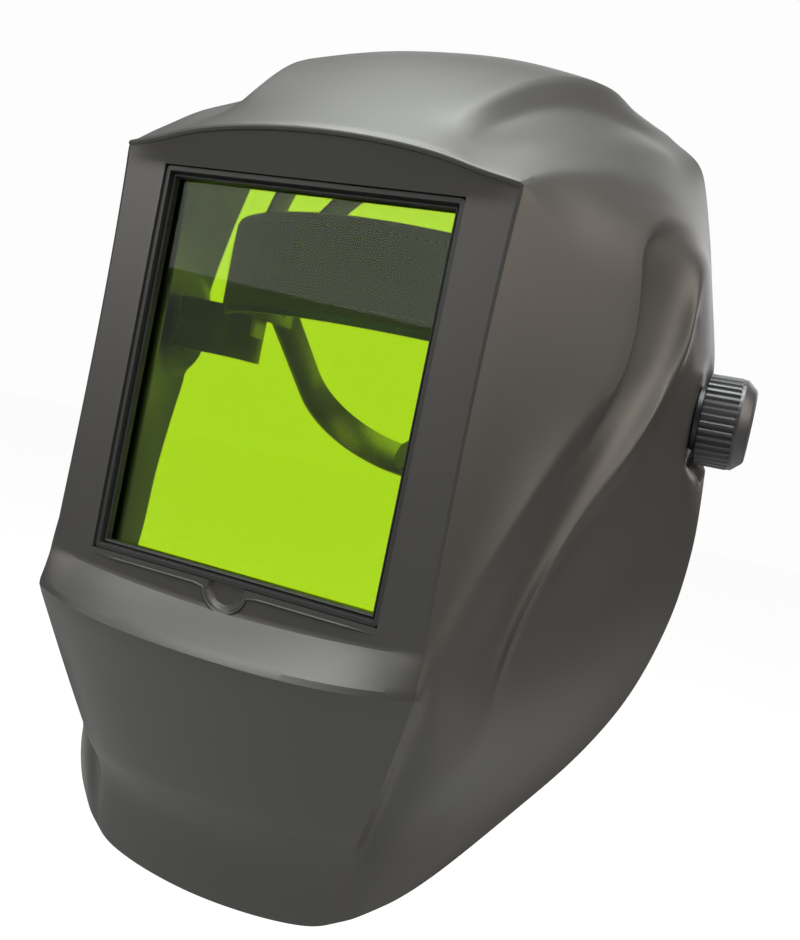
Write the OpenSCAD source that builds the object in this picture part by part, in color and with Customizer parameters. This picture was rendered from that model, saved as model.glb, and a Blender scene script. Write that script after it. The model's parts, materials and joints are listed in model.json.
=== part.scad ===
// Welding helmet: a moulded shell with a large window, a stack of plates behind the
// window, and a head harness on which the shell tilts.
// Origin: centre of the tilt axis. +X wearer's left, -Y the way the face looks, +Z up.

/* [Shell] */
// Width of the shell over its widest point
shell_w = 244; // [230:1:256]
// Height of the shell from chin to crown, to which a taller window adds
shell_h = 317; // [300:1:345]
// Reach of the window face in front of the tilt axis
face_reach = 118; // [112:1:124]
// Wall thickness of the moulding
wall = 3; // [2.6:0.1:3.6]
// Inset of the pad on which each side knob clamps, from the widest point
pad_inset = 8.5; // [7:0.5:10]
// Radius of that pad
pad_r = 18; // [18:0.5:20]

/* [Window] */
// Width of the window opening
window_w = 100; // [90:1:102]
// Height of the window opening
window_h = 122.8; // [110:0.2:124]
// Height of the window's centre against the tilt axis
window_z = -21; // [-23:1:-20]
// Overlap of each plate behind the edge of the opening
plate_lap = 4; // [3.4:0.2:4.4]
// Thickness of each clear cover plate
cover_t = 1; // [0.8:0.1:1.4]
// Thickness of the dark filter
filter_t = 3; // [2.4:0.1:3.4]

/* [Harness] */
// Radius of the head band at the sides and brow
band_r = 76; // [72:1:78]
// Height of the brow band
brow_h = 33; // [28:1:36]
// Thickness of the head bands
band_t = 2; // [1.6:0.1:2.2]
// Angle at which the rear bands slope down to the nape
nape_angle = 35; // [30:1:38]
// Diameter of the tilt bolts
bolt_d = 6; // [5:0.5:7]

/* [Knobs] */
// Diameter of each side knob
knob_d = 34; // [30:1:35]
// Length of each side knob
knob_l = 20; // [18:1:28]
// Ribs round each side knob
knob_ribs = 40; // [24:1:44]
// Diameter of the rear knob
rear_knob_d = 36; // [30:1:40]
// Module of the rear rack and pinion
rack_module = 1.5; // [1.3:0.1:1.6]

/* [Hidden] */
$fn = 64;
eps = 0.01;
slip = 0.3;        // gap between pieces that only lie beside each other
run = 0.06;        // radial clearance of a turning fit
through = 30;      // a cut that goes right through

// ---- shell surface -------------------------------------------------------------
// Each line below runs up the shell's left half along one feature, from the chin rim to
// the rear rim. Its points lie on the same rows on every line: chin rim, chin roll, chin
// panel foot, chin panel, sill crest, sill back, window foot, three rows up the window,
// window head, visor crest, five rows over the crown and the rear rim.
centre_line = [[0,-99,-187.5],[0,-103,-170],[0,-108,-152],[0,-121,-126],[0,-134,-101],
  [0,-118,-91],[0,-118,-82.4],[0,-118,-45],[0,-118,-10],[0,-118,20],[0,-118,40.4],
  [0,-125,54],[0,-112,64],[0,-90,81.5],[0,-60,103.5],[0,-25,119.5],[0,12,129.5],[0,48,129]];
brow_line = [[22,-97,-187],[23,-101,-169.5],[24,-106,-153],[26,-119,-126],[28,-132,-101],
  [28,-118,-90],[25,-118,-82.4],[25,-118,-45],[25,-118,-10],[25,-118,20],[25,-118,40.4],
  [25,-123.5,53],[22,-110,64],[22,-89,81],[24,-59,103],[27,-25,119],[30,12,129],[33,46,128]];
dome_edge = [[36,-94,-186],[38,-98,-168.5],[39,-102,-153],[43,-115,-126],[47,-128,-100],
  [46,-118,-88.5],[42,-118,-82.4],[42,-118,-45],[42,-118,-10],[42,-118,20],[42,-118,40.4],
  [42,-121.5,50.8],[35,-108,63],[40,-88,80],[47,-58,100],[57,-25,112.5],[67,10,117],[73,33,118]];
scoop_floor = [[42,-92.5,-184.5],[44,-96.5,-168],[45,-99,-153],[51,-112,-125],[57,-124.5,-99],
  [55,-118,-87.5],[50,-118,-82.4],[50,-118,-45],[50,-118,-10],[50,-118,20],[50,-118,40.4],
  [50,-120.5,48.6],[45,-107,60],[49,-87,73],[59,-57,91.5],[69,-25,101.5],[77,8,106.5],[80,27,109]];
shoulder_ridge = [[45,-91.5,-183],[47,-95.5,-167],[47.5,-98,-152.5],[55.5,-110,-125],
  [62.5,-122.5,-98.5],[61,-118,-86.5],[58,-118,-80],[58,-118,-45],[58,-118,-10],[58,-118,20],
  [58,-118,40.4],[58,-119.3,47],[57,-106,58],[62,-88,69],[72,-60,79],[81,-30,88],[88,0,95],
  [94,15,99]];
face_edge = [[48,-90.5,-181.5],[49.5,-94,-166],[49.6,-96.7,-152.5],[58,-108,-125],[66,-120.5,-98],
  [65,-118,-86],[65,-118,-76],[64.2,-118,-45],[63.8,-118,-10],[64.2,-118,20],[65,-118,39],
  [65.4,-118,46],[68,-105,54],[76,-87,61],[84,-64,68],[92,-45,70],[98,-20,73],[98,14,88]];
cheek = [[51,-89.5,-180],[52,-93,-165],[52,-95.5,-151],[61,-106.5,-124.5],[67.5,-118,-98],
  [66.5,-116,-82],[68,-112.5,-73],[72,-104,-43],[76,-98,-12],[80,-93,8],[81,-91,22],[81,-91,32],
  [80,-93,42],[86,-80,51],[90,-62,60],[96.5,-42,65],[101,-18,68],[100.5,14,80]];
step_top = [[54,-88,-178],[55,-91.5,-164],[55,-94,-149.5],[65,-103.5,-124],[69.5,-114.5,-98],
  [68,-115,-80],[71,-109,-68],[81,-92,-41],[89.5,-76,-16],[96.5,-63,-2],[98,-60,10],[98,-60,24],
  [96,-64,36],[93,-66,46],[95,-58,54],[99.5,-40,61],[103,-16,65],[102.5,14,73]];
step_foot = [[57.5,-86,-175.5],[59,-89,-162],[59,-91.5,-147.5],[70,-99,-123],[72,-110.5,-98],
  [70,-113,-86],[75,-104,-74],[84.5,-88,-49],[92.5,-74,-24],[98.5,-61,-6],[101,-57,8],
  [101.5,-55,22],[101,-56,34],[100,-58,44],[99.5,-54,52],[102,-38,58],[104,-15,62.5],[104.5,14,66]];
valley = [[61,-84,-173],[63.5,-85,-160],[64,-87,-145.5],[75.5,-92,-122],[78.5,-94,-102],
  [81,-91,-88],[84.5,-85.5,-66],[90,-77,-40],[97,-63,-17],[101,-54,-3],[103.5,-47,8],
  [105.5,-43,21],[105.5,-42,32],[105,-42,41],[104,-41,50],[104.5,-33,55],[105.5,-13,60],
  [106,14,60]];
ridge = [[65,-81,-169.5],[68,-80,-157.5],[69,-80.5,-144],[79,-84,-121],[80.5,-91,-102],
  [86,-88,-85],[90.5,-81,-66],[96.5,-69,-43],[102.5,-57,-20],[105.5,-50,-6],[108,-44,7],
  [109.5,-41,18],[110,-40,28],[109.5,-39,37],[108.5,-35,47],[108,-26,53],[107,-11,57],
  [107.5,14,54]];
ridge_foot = [[69,-77.5,-165.5],[73,-73,-155],[74.5,-73,-143],[81,-77,-120.5],[82,-88,-102],
  [88,-83,-86],[94,-72,-67],[100.5,-57,-45],[106,-46,-24],[108.5,-40,-8],[110.5,-36,6],
  [111,-34,17],[111,-34,26],[110.5,-34,34],[110,-31,42],[110,-23,48],[108.5,-8,52],[109,14,48]];
rear_panel = [[74,-72,-160],[82,-60,-149],[87,-50,-139],[95,-42,-119],[102,-34,-102],
  [107,-27,-86],[111,-22,-69],[114,-16,-49],[115.5,-12,-33],[116,-10,-20],[116,-10,-10],
  [115.5,-10,-2],[115,-10,5],[114.5,-10,12],[114,-8,20],[113.5,-5,28],[112.5,3,36],[112,15,36]];
rim = [[80.5,-62,-152.5],[90,-47,-141],[100,-31,-129],[110,-14,-112],[115,-3,-98],
  [118.5,3,-84],[121,7,-70],[122,11,-54],[122,13,-43],[121.5,14,-35],[121,15,-28],
  [120.5,15,-22],[120,15,-16],[119.5,15,-10],[118.5,15,-3],[117,15,5],[116,15,14],[115,15,24]];
half_lines = [centre_line, brow_line, dome_edge, scoop_floor, shoulder_ridge, face_edge, cheek,
              step_top, step_foot, valley, ridge, ridge_foot, rear_panel, rim];
crisp_rows = [2, 4, 5, 11];     // rows that keep a sharp edge
crisp_lines = [5, 11];          // lines that keep a sharp edge
scale_x = shell_w / 244;
scale_y = face_reach / 118;
scale_z = shell_h / 317;
window_more = window_h - 122.8;     // a taller window spreads the rows above and below it
spread = [-1, -1, -1, -1, -1, -1, -1, -0.5, 0, 0.5, 1, 1, 1, 1, 1, 1, 1, 1];
rows = len(centre_line);
half = len(half_lines) - 1;
lines = 2 * half + 1;

function half_point(i, j) = [half_lines[j][i].x * scale_x, half_lines[j][i].y * scale_y,
                             half_lines[j][i].z * scale_z + spread[i] * window_more / 2];
function mirrored(p) = [-p.x, p.y, p.z];
function cage(i, j) = j < half ? mirrored(half_point(i, half - j)) : half_point(i, j - half);
function listed(value, list) = len([for (v = list) if (v == value) v]) > 0;
function soft_line(i, j) =
    j == 0 || j == lines - 1 || listed(abs(j - half), crisp_lines) ? cage(i, j)
    : (cage(i, j - 1) + 6 * cage(i, j) + cage(i, j + 1)) / 8;
function soft_row(i, j) =
    i == 0 || i == rows - 1 || listed(i, crisp_rows) ? soft_line(i, j)
    : (soft_line(i - 1, j) + 6 * soft_line(i, j) + soft_line(i + 1, j)) / 8;
skin = [for (i = [0 : 2 * rows - 2]) [for (j = [0 : lines - 1])
        i % 2 == 0 ? soft_row(i / 2, j)
                   : (soft_line((i - 1) / 2, j) + soft_line((i + 1) / 2, j)) / 2]];
skin_rows = len(skin);
function unit(v) = v / norm(v);
function outward(i, j) = unit(cross(
    skin[i][min(j + 1, lines - 1)] - skin[i][max(j - 1, 0)],
    skin[min(i + 1, skin_rows - 1)][j] - skin[max(i - 1, 0)][j]));
function at(i, j) = i * lines + j;

module shell_skin() {
    count = skin_rows * lines;
    outer = [for (i = [0 : skin_rows - 1]) for (j = [0 : lines - 1]) skin[i][j]];
    inner = [for (i = [0 : skin_rows - 1]) for (j = [0 : lines - 1])
             skin[i][j] - wall * outward(i, j)];
    cells = [for (i = [0 : skin_rows - 2]) for (j = [0 : lines - 2])
             [at(i, j), at(i, j + 1), at(i + 1, j + 1), at(i + 1, j)]];
    edge = concat([for (j = [0 : lines - 1]) at(0, j)],
                  [for (i = [1 : skin_rows - 1]) at(i, lines - 1)],
                  [for (j = [lines - 2 : -1 : 0]) at(skin_rows - 1, j)],
                  [for (i = [skin_rows - 2 : -1 : 1]) at(i, 0)]);
    n = len(edge);
    faces = concat(
        [for (c = cells) each [[c[2], c[1], c[0]], [c[3], c[2], c[0]]]],
        [for (c = cells) each [[c[0] + count, c[1] + count, c[2] + count],
                               [c[0] + count, c[2] + count, c[3] + count]]],
        [for (k = [0 : n - 1]) let (a = edge[k], b = edge[(k + 1) % n])
         each [[a, b, b + count], [a, b + count, a + count]]]);
    polyhedron(concat(outer, inner), faces, convexity = 10);
}

// ---- places derived from the driving sizes ----------------------------------------
face_y = -face_reach;                 // outer face of the window wall
face_in = face_y + wall;              // its inner face
pad_x = shell_w / 2 - pad_inset;      // outer face of the knob pad
pad_t = wall + 0.5;
pad_in = pad_x - pad_t;
disc_t = 0.8;
disc_x = pad_in - 0.1 - disc_t;
arm_t = 3;
arm_x = disc_x - 0.1 - arm_t;         // inner face of the arm's eye
eye_r = 13;
bolt_r = bolt_d / 2;
head_t = 2.5;
bolt_head_r = 8;
collar_l = 2.3;
knob_x = pad_x + 0.2;
plate_w = window_w + 2 * plate_lap;
plate_h = window_h + 2 * plate_lap;
seal_t = 1.8;
seal_lap = 3;                         // how far the seal shows inside the opening
carrier_t = 2.5;
carrier_w = plate_w + 0.8 + 2 * carrier_t;
carrier_h = plate_h + 0.8 + 2 * carrier_t;
seal_y = face_in + 0.02;
cover_y = seal_y + seal_t + 0.05;
filter_y = cover_y + cover_t + 0.2;
inner_y = filter_y + filter_t + 0.2;
retainer_y = inner_y + cover_t + 0.05;
retainer_t = 3;
retainer_lip = 6;
carrier_back = retainer_y + retainer_t;
latch_y = carrier_back + 0.15;
latch_t = 2;
lug_r = 4.5;
lug_x = 30;
lug_out = 3.2;                        // lug centres stand this far outside the carrier
lug_top_z = window_z + carrier_h / 2 + lug_out;
lug_low_z = window_z - carrier_h / 2 - lug_out;
screw_r = 1.5;
latch_len = 10;
grip_gap = 3.5;                       // from a latch's centre to its finger grip

module along_y(y, h, r) { translate([0, y, 0]) rotate([-90, 0, 0]) cylinder(h = h, r = r); }
module along_x(x, h, r) { translate([x, 0, 0]) rotate([0, 90, 0]) cylinder(h = h, r = r); }
module both_sides() { children(); mirror([1, 0, 0]) children(); }
module window_box(w, h, y, t) { translate([-w / 2, y, window_z - h / 2]) cube([w, t, h]); }
module rounded_plate(w, h, y, t, r) {
    translate([0, y, window_z]) rotate([90, 0, 0]) mirror([0, 0, 1]) linear_extrude(t) union() {
        square([w - 2 * r, h], center = true);
        square([w, h - 2 * r], center = true);
        for (sx = [-1, 1], sz = [-1, 1]) translate([sx * (w / 2 - r), sz * (h / 2 - r)]) circle(r);
    }
}

// ---- shell and window stack --------------------------------------------------------
notch_r = 6.5;                        // finger notch under the window
notch_depth = 1.6;
boss_r = 3;                           // bosses that take the carrier's screws
boss_len = carrier_back - 2.6 - (face_y + 1);
module helmet_shell() { color("#4a4744") difference() {
    union() {
        difference() {
            shell_skin();
            both_sides() along_x(pad_x - 1, 30, pad_r);
        }
        both_sides() along_x(pad_in, pad_t, pad_r);
        both_sides() translate([lug_x, 0, lug_top_z]) along_y(face_y + 1, boss_len, boss_r);
        both_sides() translate([lug_x, 0, lug_low_z]) along_y(face_y + 0.3, boss_len + 0.7, boss_r);
    }
    window_box(window_w, window_h, face_y - 20, 20 + wall + 1);
    translate([0, 0, window_z - window_h / 2 - 1]) along_y(face_y - 1, 1 + notch_depth, notch_r);
    both_sides() along_x(pad_in - 1, pad_t + 2, bolt_r + run);
    both_sides() translate([lug_x, 0, lug_top_z])
        along_y(carrier_back - 2.6 - 5, 6, screw_r + 0.02);
    both_sides() translate([lug_x, 0, lug_low_z])
        along_y(carrier_back - 2.6 - 5, 6, screw_r + 0.02);
} }

module window_seal() { color("#15171a") difference() {
    rounded_plate(plate_w, plate_h, seal_y, seal_t, 3);
    window_box(window_w - 2 * seal_lap, window_h - 2 * seal_lap, seal_y - 1, seal_t + 2);
} }
module cover_plate() { color([0.9, 0.95, 0.95, 0.3]) window_box(plate_w, plate_h, cover_y, cover_t); }
module filter_plate() { color([0.68, 0.87, 0.04, 0.6]) window_box(plate_w, plate_h, filter_y, filter_t); }
module inner_plate() { color([0.9, 0.95, 0.95, 0.3]) window_box(plate_w, plate_h, inner_y, cover_t); }
module plate_retainer() { color("#202224") difference() {
    window_box(plate_w, plate_h, retainer_y, retainer_t);
    window_box(plate_w - 2 * retainer_lip, plate_h - 2 * retainer_lip, retainer_y - 1, retainer_t + 2);
} }
module lug(z) {
    translate([0, 0, z]) along_y(carrier_back - 2.5, 2.5, lug_r);
}
module plate_carrier() { color("#26282b") difference() {
    union() {
        difference() {
            rounded_plate(carrier_w, carrier_h, face_in + 0.02, carrier_back - face_in, 4);
            window_box(plate_w + 0.6, plate_h + 0.6, face_in - 1, through);
        }
        both_sides() translate([lug_x, 0, 0]) { lug(lug_top_z); lug(lug_low_z); }
        lug(lug_top_z);
        lug(lug_low_z);
    }
    window_box(plate_w + 0.6, plate_h + 0.6, face_in - 1, through);
    both_sides() for (z = [lug_top_z, lug_low_z])
        translate([lug_x, 0, z]) along_y(carrier_back - 4, 6, screw_r + 0.1);
    for (z = [lug_top_z, lug_low_z])
        translate([0, 0, z]) along_y(carrier_back - 4, 6, screw_r + 0.02);
} }
module pan_screw(y_seat, shank) {
    along_y(y_seat, 1.4, 2.8);
    along_y(y_seat - shank, shank + eps, screw_r);
}
module carrier_screws() { color("#b8bcc0") both_sides() for (z = [lug_top_z, lug_low_z])
    translate([lug_x, 0, z]) pan_screw(carrier_back + 0.02, 6);
}
module latch(z, s) { color("#1c1d1f") difference() {
    translate([0, 0, z]) union() {
        along_y(latch_y, latch_t, 4.5);
        translate([-3, latch_y, s > 0 ? 0 : -latch_len]) cube([6, latch_t, latch_len]);
        translate([-1, latch_y + latch_t - eps, s > 0 ? grip_gap : 1 - latch_len])
            cube([2, 3, latch_len - 1 - grip_gap]);
    }
    translate([0, 0, z]) along_y(latch_y - 1, latch_t + 2, screw_r + run);
} }
module latch_top() latch(lug_top_z, -1);
module latch_bottom() latch(lug_low_z, 1);
module latch_screws() { color("#b8bcc0") for (z = [lug_top_z, lug_low_z])
    translate([0, 0, z]) pan_screw(latch_y + latch_t + 0.15, latch_t + 2.5);
}

// ---- head harness ---------------------------------------------------------------------
band_in = band_r - band_t / 2;
band_out = band_r + band_t / 2;
band_y = -80 + band_out;              // centre of the brow's half circle
brow_z = 4;
brow_end = 30;                        // rear end of the brow band's sides
mid_z = brow_z + brow_h / 2;
module stadium(r, back) { intersection() {
    union() {
        translate([0, band_y]) circle(r);
        translate([-r, band_y]) square([2 * r, back - band_y]);
    }
    translate([-2 * r, band_y - 2 * r]) square([4 * r, 2 * r + back - band_y]);
} }
module band_ring(inner, outer, back, z, h) {
    translate([0, 0, z]) linear_extrude(h) difference() {
        stadium(outer, back);
        stadium(inner, back + 1);
    }
}
module side_profile(low_back, high_back) {
    rotate([90, 0, 90]) linear_extrude(4 * band_r, center = true)
        polygon([[-band_r * 2, brow_z - 1], [-50, brow_z - 1], [-22, low_back], [brow_end + 5, low_back],
                 [brow_end + 5, high_back], [-22, high_back], [-50, brow_z + brow_h + 1],
                 [-band_r * 2, brow_z + brow_h + 1]]);
}
side_low = mid_z - 12;
side_high = mid_z + 12;
peg_y = 24;
peg_r = 3;
arm_rivet_y = [0.5, 7];
strap_feet = [[-11, 12], [14, -14]];    // each arch's foot along Y and its lean
strap_t = 1.6;
strap_w = 14;
strap_r = band_in - 1.8;
strap_z = mid_z + 7;
foot_rivet_z = mid_z - 2;
module brow_band() { color("#17181a") difference() {
    intersection() {
        band_ring(band_in, band_out, brow_end, brow_z, brow_h);
        side_profile(side_low, side_high);
    }
    both_sides() translate([0, peg_y, mid_z]) along_x(band_in - 1, band_t + 2, peg_r - 0.5);
    both_sides() for (y = arm_rivet_y) translate([0, y, mid_z + 6.5]) along_x(band_in - 1, band_t + 2, 2.02);
    both_sides() for (f = strap_feet) translate([0, f[0], foot_rivet_z]) along_x(band_in - 6, 12, 2.02);
} }
pad_t_in = 5;
pad_t_out = 1.6;
module brow_pad() { color("#3a2c22") intersection() {
    difference() {
        band_ring(band_in - slip - pad_t_in, band_out + slip + pad_t_out, 0, brow_z + 2, brow_h + 1);
        band_ring(band_in - slip, band_out + slip, 1, brow_z + 1, brow_h - 1 + slip);
    }
    translate([-58, -100, -20]) cube([116, 66, 100]);
} }

// The arm is a strip, seen from above, from the band's side out to the bolt.
arm_path = [[band_out + 0.1 + arm_t / 2, 10.5], [band_out + 0.1 + arm_t / 2, -2],
            [band_out + 4.5, -8], [band_out + 11, -12.5], [band_out + 19, -15],
            [arm_x + arm_t / 2 - 4, -15.5], [arm_x + arm_t / 2, -11], [arm_x + arm_t / 2, 0]];
function tangent(path, i) = unit(path[min(i + 1, len(path) - 1)] - path[max(i - 1, 0)]);
function shifted(path, d) = [for (i = [0 : len(path) - 1])
    path[i] + d * [tangent(path, i).y, -tangent(path, i).x]];
function reversed(list) = [for (i = [len(list) - 1 : -1 : 0]) list[i]];
module arm_shape() { difference() {
    union() {
        translate([0, 0, -11]) linear_extrude(22)
            polygon(concat(shifted(arm_path, arm_t / 2), reversed(shifted(arm_path, -arm_t / 2))));
        along_x(arm_x, arm_t, eye_r);
        translate([band_out + 0.1, -3, 0]) cube([arm_t, 13.5, side_high - 1]);
    }
    along_x(arm_x - 1, arm_t + 2, bolt_r + 0.02);
    for (z = [-6, 6]) translate([0, -20, z]) rotate([0, 90, 0])
        translate([0, 0, band_out + 8]) cylinder(h = 10, r = 2.4);
    for (y = arm_rivet_y) translate([0, y, mid_z + 6.5]) along_x(band_out - 1, arm_t + 3, 2.02);
} }
module arm_left() { color("#1a1b1d") arm_shape(); }
module arm_right() { color("#1a1b1d") mirror([1, 0, 0]) arm_shape(); }
module rivet(x0, x1, r, cap) {
    along_x(x0 - 1.2, 1.2, cap);
    along_x(x0 - eps, x1 - x0 + 2 * eps, r);
    along_x(x1, 1.2, cap);
}
module arm_rivets() { color("#2a2c2e") both_sides() for (y = arm_rivet_y)
    translate([0, y, mid_z + 6.5]) rivet(band_in - 0.02, band_out + 0.12 + arm_t, 2, 3.4);
}
module bolt_shape() {
    along_x(arm_x - 0.02 - head_t, head_t, bolt_head_r);
    along_x(arm_x - 0.03, knob_x + knob_l - 5 - arm_x, bolt_r);
}
module pivot_bolt_left() { color("#c4c7ca") bolt_shape(); }
module pivot_bolt_right() { color("#c4c7ca") mirror([1, 0, 0]) bolt_shape(); }
module disc_shape() { difference() {
    along_x(disc_x, disc_t, 12);
    along_x(disc_x - 1, disc_t + 2, bolt_r + 0.1);
} }
module friction_disc_left() { color("#7a3b22") disc_shape(); }
module friction_disc_right() { color("#7a3b22") mirror([1, 0, 0]) disc_shape(); }

// ---- side knobs -------------------------------------------------------------------------
knob_r = knob_d / 2;
nut_l = 9;
nut_r = 5.5;
nut_x = knob_x + knob_l - 5 - nut_l;
rib_d = 0.9;
module ribbed(h, r, ribs) {
    linear_extrude(h) difference() {
        circle(r);
        for (k = [0 : ribs - 1]) rotate(k * 360 / ribs) translate([r + 0.15, 0]) circle(rib_d, $fn = 6);
    }
}
module knob_shape() { difference() {
    union() {
        along_x(knob_x, collar_l + eps, 12);
        translate([knob_x + collar_l, 0, 0]) rotate([0, 90, 0])
            ribbed(knob_l - collar_l - 4.5, knob_r, knob_ribs);
        translate([knob_x + knob_l - 4.5 - eps, 0, 0]) rotate([0, 90, 0])
            rotate_extrude() polygon([[0, 0], [knob_r - 0.3, 0], [knob_r - 0.6, 1.2], [knob_r - 3.4, 4.1],
                                      [knob_r - 5, 4.5], [knob_r - 6, 4.1], [0, 4.1]]);
    }
    along_x(knob_x - 1, nut_x + nut_l + 1.5 - knob_x, bolt_r + 0.3);
    along_x(nut_x - 0.02, nut_l + 0.04, nut_r + 0.02);
} }
module knob_left() { color("#3b3e41") knob_shape(); }
module knob_right() { color("#3b3e41") mirror([1, 0, 0]) knob_shape(); }
module nut_shape() { difference() {
    along_x(nut_x, nut_l, nut_r);
    along_x(nut_x - 1, nut_l + 2, bolt_r + run);
} }
module knob_nut_left() { color("#b08d3c") nut_shape(); }
module knob_nut_right() { color("#b08d3c") mirror([1, 0, 0]) nut_shape(); }

// ---- crown straps -------------------------------------------------------------------------
strap_past = 24;                      // how far each strap runs past the crown, in degrees
strap_drop = ceil(10 * (strap_t + 0.1) / cos(strap_past)) / 10;    // the right strap lies lower
peg_hole_r = 3;
module strap(drop) {
    difference() {
        union() {
            translate([0, 0, -drop]) rotate([90, 0, 0])
                translate([0, 0, -strap_w / 2]) rotate_extrude(angle = 90 + strap_past)
                    translate([strap_r - strap_t, 0]) square([strap_t, strap_w]);
            translate([strap_r - strap_t, -strap_w / 2, -14]) cube([strap_t, strap_w, 14 - drop]);
        }
        for (a = [66 : 8 : 90 + strap_past - 6]) translate([0, 0, -drop]) rotate([0, -a, 0])
            translate([strap_r - strap_t - 1, 0, 0]) rotate([0, 90, 0]) cylinder(h = 4, r = peg_hole_r, $fn = 6);
    }
}
module arch(f) { translate([0, f[0], strap_z]) rotate([f[1], 0, 0]) children(); }
module strap_in_place(f, drop) { difference() {
    arch(f) strap(drop);
    translate([0, f[0], foot_rivet_z]) along_x(strap_r - 4, 8, 2.3);
} }
module crown_strap_front_left() { color("#1b1c1e") strap_in_place(strap_feet[0], 0); }
module crown_strap_front_right() { color("#1b1c1e") mirror([1, 0, 0]) strap_in_place(strap_feet[0], strap_drop); }
module crown_strap_rear_left() { color("#1b1c1e") strap_in_place(strap_feet[1], 0); }
module crown_strap_rear_right() { color("#1b1c1e") mirror([1, 0, 0]) strap_in_place(strap_feet[1], strap_drop); }
module strap_rivets() { color("#2a2c2e") both_sides() for (f = strap_feet)
    translate([0, f[0], foot_rivet_z]) rivet(strap_r - strap_t - 0.2, band_out + 0.1, 1.95, 3);
}
module crown_pegs() { color("#2a2c2e") for (f = strap_feet) arch(f) {
    low = strap_r - strap_t - strap_drop - 0.1;
    translate([0, 0, low - 1.2]) cylinder(h = 1.2, r = 4.4);
    translate([0, 0, low - 0.1]) cylinder(h = strap_r - low + 0.3, r = peg_hole_r * cos(30) - 0.1);
    translate([0, 0, strap_r + 0.1]) cylinder(h = 1.2, r = 4.4);
} }

// ---- rear bands and ratchet, drawn level and then leaned down to the nape ---------------------
nape_y = 18;
nape_len = 112;                       // from the hinge of the lean to the racks' middle
bend_r = 53;
track_r = band_out + slip + band_t / 2;   // middle of the rear bands' sides
module at_nape() { translate([0, nape_y, mid_z]) rotate([-nape_angle, 0, 0]) children(); }
teeth = 10;
pitch_r = rack_module * teeth / 2;
tooth_pitch = PI * rack_module;
rack_reach = 24;                      // how far a rack runs past the middle
rack_back = 5.5;
addendum = 0.55 * rack_module;
rack_line = pitch_r + 0.85 * rack_module;
function rack_tooth(x, s) = [[x - 0.95 - 0.25, s * rack_line], [x - 0.95 + 0.2, s * (pitch_r - addendum)],
                             [x + 0.95 - 0.2, s * (pitch_r - addendum)], [x + 0.95 + 0.25, s * rack_line]];
corner_x = track_r - bend_r;
corner_y = nape_len - bend_r;
module rear_band_outline(half_t) {
    translate([track_r - half_t, 0]) square([2 * half_t, corner_y]);
    translate([corner_x, corner_y]) intersection() {
        difference() { circle(bend_r + half_t); circle(bend_r - half_t); }
        square(2 * bend_r);
    }
}
rack_zone = 29;
rack_t = 2.4;
module rear_band_shape(s) {
    difference() {
        at_nape() union() {
            translate([0, 0, -9]) linear_extrude(18) difference() {
                rear_band_outline(band_t / 2);
                translate([-1, nape_len - 8]) square([rack_zone + 1, 20]);
            }
            translate([0, nape_len + rack_t / 2, 0]) rotate([90, 0, 0]) linear_extrude(rack_t) union() {
                translate([-rack_reach, s > 0 ? rack_line - eps : -rack_line - rack_back])
                    square([rack_reach + rack_zone + 1, rack_back]);
                for (k = [-4 : 3]) polygon(rack_tooth((k + 0.5) * tooth_pitch, s));
            }
        }
        translate([0, peg_y, mid_z]) along_x(track_r - 4, 8, peg_r + 0.15);
        translate([band_r - 12, nape_y - 30, mid_z - 60]) cube([30, 30.5, 120]);
    }
}
module rear_band_left() { color("#1a1b1d") rear_band_shape(1); }
module rear_band_right() { color("#1a1b1d") mirror([1, 0, 0]) rear_band_shape(-1); }
travel = 8;
module band_pegs() { color("#2a2c2e") both_sides() translate([0, peg_y, mid_z]) {
    along_x(band_in - 1.7, 1.6, 5);
    along_x(band_in - 0.2, track_r + band_t / 2 + travel + 0.5 - band_in + 0.2, peg_r - 0.52);
    along_x(track_r + band_t / 2 + travel + 0.3, 1.6, 5);
} }
house_w = 54;
house_h = 2 * (rack_line + rack_back) + 5;
house_in = rack_line + rack_back + 0.3;
floor_y = nape_len - rack_t / 2 - 2.3;
cover_y2 = nape_len + rack_t / 2 + 0.3;
cover_t2 = 2;
shaft_r = 4;
screw_dx = 22;
module house_plate(y, t) {
    translate([0, y, 0]) rotate([90, 0, 0]) mirror([0, 0, 1]) linear_extrude(t) union() {
        square([house_w - 10, house_h], center = true);
        square([house_w, house_h - 10], center = true);
        for (sx = [-1, 1], sz = [-1, 1])
            translate([sx * (house_w / 2 - 5), sz * (house_h / 2 - 5)]) circle(5);
    }
}
module ratchet_housing() { color("#1f2022") at_nape() difference() {
    house_plate(floor_y, cover_y2 - floor_y);
    translate([-house_w, floor_y + 2, -house_in]) cube([2 * house_w, cover_y2, 2 * house_in]);
    along_y(floor_y - 1, 4, 2.5);
    for (sx = [-1, 1]) translate([sx * screw_dx, 0, 0]) along_y(floor_y - 1, 4, 1.25);
} }
module ratchet_cover() { color("#1f2022") at_nape() difference() {
    union() {
        house_plate(cover_y2 + 0.02, cover_t2);
        for (sx = [-1, 1]) translate([sx * screw_dx, 0, 0])
            along_y(floor_y + 2.02, cover_y2 - floor_y - 2, 2.6);
    }
    along_y(cover_y2 - 1, cover_t2 + 3, shaft_r + run);
    for (sx = [-1, 1]) translate([sx * screw_dx, 0, 0]) along_y(floor_y - 1, 20, 1.3);
} }
module cover_screws() { color("#b8bcc0") at_nape() for (sx = [-1, 1]) translate([sx * screw_dx, 0, 0]) {
    along_y(cover_y2 + cover_t2 + 0.04, 1.2, 2.4);
    along_y(floor_y + 0.5, cover_y2 + cover_t2 - floor_y - 0.4, 1.2);
} }
nape_pad_w = house_w + 2;
nape_pad_r = 13;
nape_pad_t = 6.9;
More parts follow.
